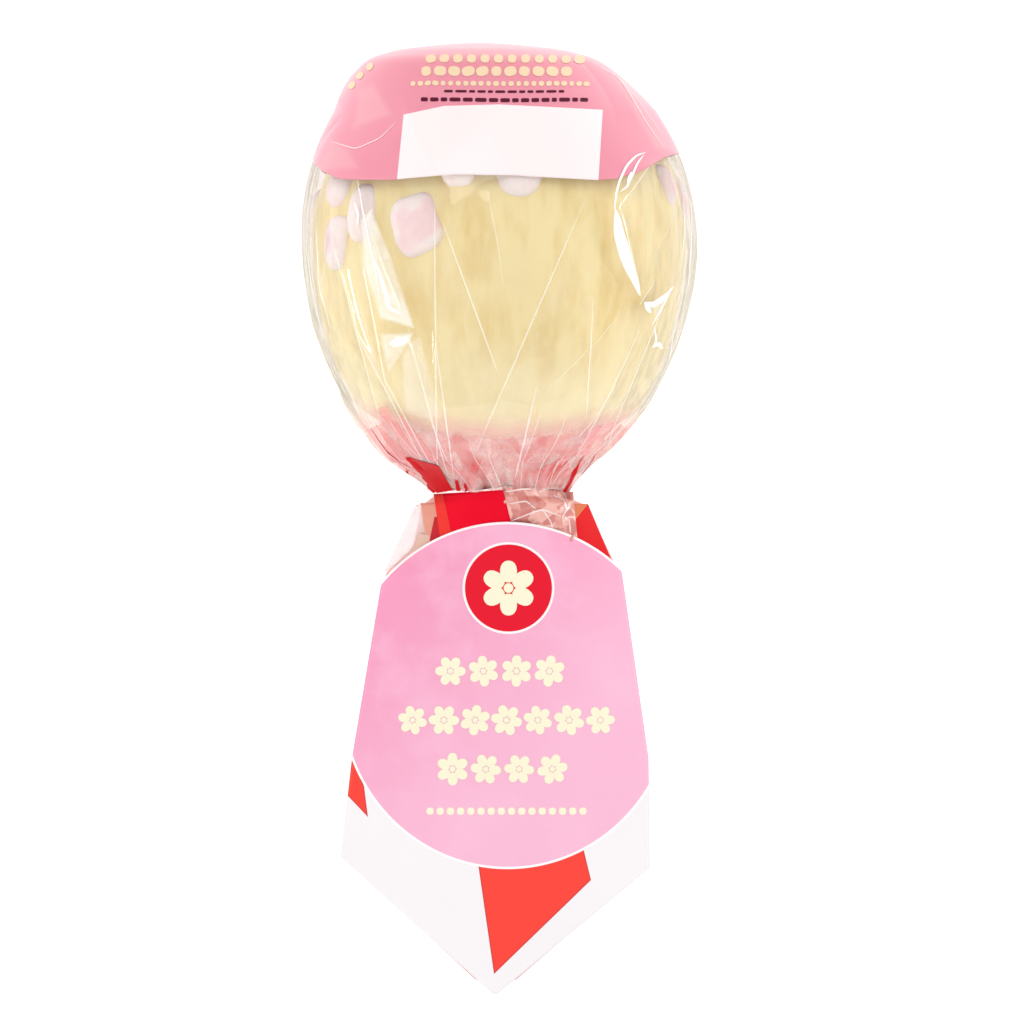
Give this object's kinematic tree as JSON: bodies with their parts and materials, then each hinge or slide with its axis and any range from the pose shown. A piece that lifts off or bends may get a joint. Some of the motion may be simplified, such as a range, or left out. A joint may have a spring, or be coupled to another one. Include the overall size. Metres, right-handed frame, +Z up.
{
  "type": "chocolate covered apple",
  "caption": "White chocolate covered apple in a clear film wrap with a pink printed cap, gathered below into a flat, folded, printed tail with a pointed end, lying on its back.",
  "frame": {"origin": "on the surface, in the middle of the small flat spot that the wrapped apple rests on", "axes": "+Y from the tail's point towards the apple's top, +Z up through the printed front, +X to the right seen from the front"},
  "size_m": [0.0804, 0.1886, 0.0808],
  "materials": {
    "clear_film_over_white_chocolate": "glossy clear film over pale cream white chocolate",
    "pink_print": "glossy film with pink print",
    "white_tail_print": "satin film with white, pink and red print"
  },
  "bodies": {
    "root": {"wrapped_apple": "clear_film_over_white_chocolate", "printed_cap": "pink_print", "printed_tail": "white_tail_print"}
  },
  "joints": []
}
